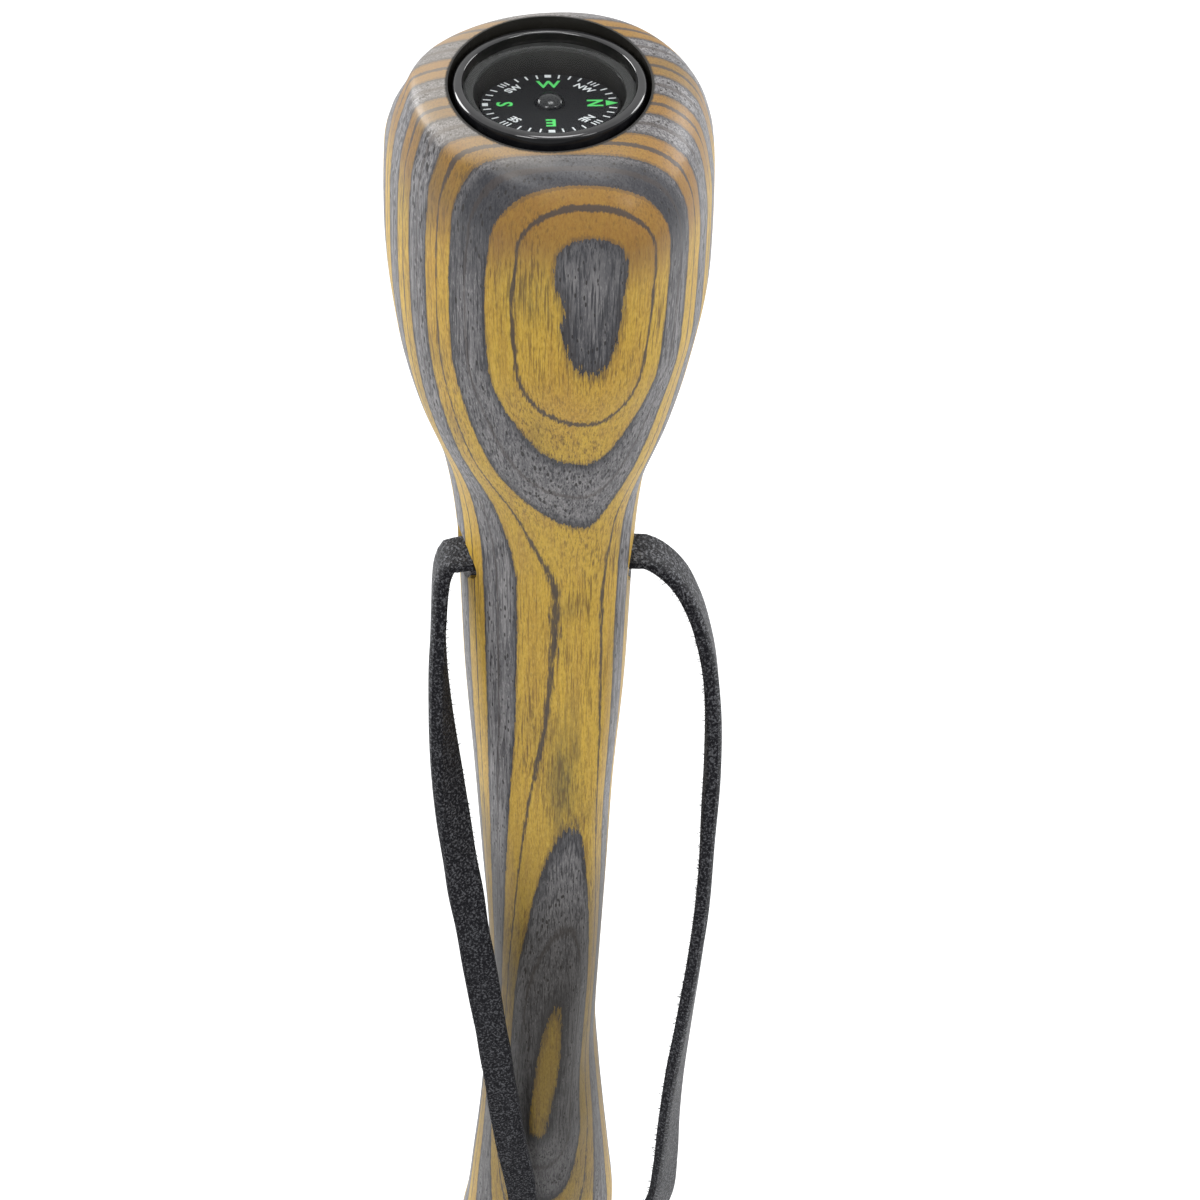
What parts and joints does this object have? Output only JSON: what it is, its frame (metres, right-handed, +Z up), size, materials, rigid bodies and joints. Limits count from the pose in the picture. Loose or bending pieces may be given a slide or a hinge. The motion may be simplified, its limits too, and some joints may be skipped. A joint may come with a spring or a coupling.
{
  "type": "hiking staff",
  "caption": "Straight hiking staff carved from two-colour laminated wood, with a compass set in its flared head, a leather wrist strap through the neck and a rubber tip.",
  "frame": {"origin": "middle of the flat face under the rubber tip, where the staff stands on the ground", "axes": "+Z up the staff to the compass, -Y to the front that the picture shows, +X to the right of that front"},
  "size_m": [0.043, 0.0384, 1.2188],
  "materials": {
    "grey_veneer": "dyed grey birch veneer, satin varnish",
    "gold_veneer": "dyed golden-yellow birch veneer, satin varnish",
    "case_plastic": "moulded black, polished",
    "clear_lens": "clear moulded acrylic, polished",
    "seal_rubber": "moulded black",
    "adhesive": "set epoxy",
    "pin_steel": "hard ground steel",
    "hub_plastic": "moulded black, polished",
    "dial_card": "black card with white and green marks",
    "magnet": "sintered ferrite ring",
    "leather_lace": "black lace, one smooth side and one raw side",
    "tip_rubber": "moulded black rubber, matt",
    "washer_steel": "plated steel"
  },
  "bodies": {
    "staff": {"veneer_band_01": "grey_veneer", "veneer_band_02": "gold_veneer", "veneer_band_03": "grey_veneer", "veneer_band_04": "gold_veneer", "veneer_band_05": "grey_veneer", "veneer_band_06": "gold_veneer", "veneer_band_07": "grey_veneer", "veneer_band_08": "gold_veneer", "veneer_band_09": "grey_veneer", "veneer_band_10": "gold_veneer", "veneer_band_11": "grey_veneer", "veneer_band_12": "gold_veneer", "compass_case": "case_plastic", "compass_lens": "clear_lens", "lens_seal": "seal_rubber", "compass_adhesive": "adhesive", "pivot_pin": "pin_steel", "rubber_tip": "tip_rubber", "tip_washer": "washer_steel"},
    "dial": {"compass_dial": "dial_card", "dial_hub": "hub_plastic", "dial_magnet": "magnet"},
    "strap": {"strap_bight": "leather_lace", "strap_left_leg": "leather_lace", "strap_right_leg": "leather_lace", "strap_knot": "leather_lace", "strap_left_tail": "leather_lace", "strap_right_tail": "leather_lace"}
  },
  "joints": [
    {"name": "dial_spin", "type": "hinge", "parent": "staff", "child": "dial", "pos_m": [0, 0.00068, 1.21477], "axis": [0, 0.2924, 0.9563], "continuous": true},
    {"name": "strap_swing", "type": "hinge", "parent": "staff", "child": "strap", "pos_m": [0, 0, 1.1431], "axis": [-1, 0, 0], "range_deg": [0, 90]}
  ]
}
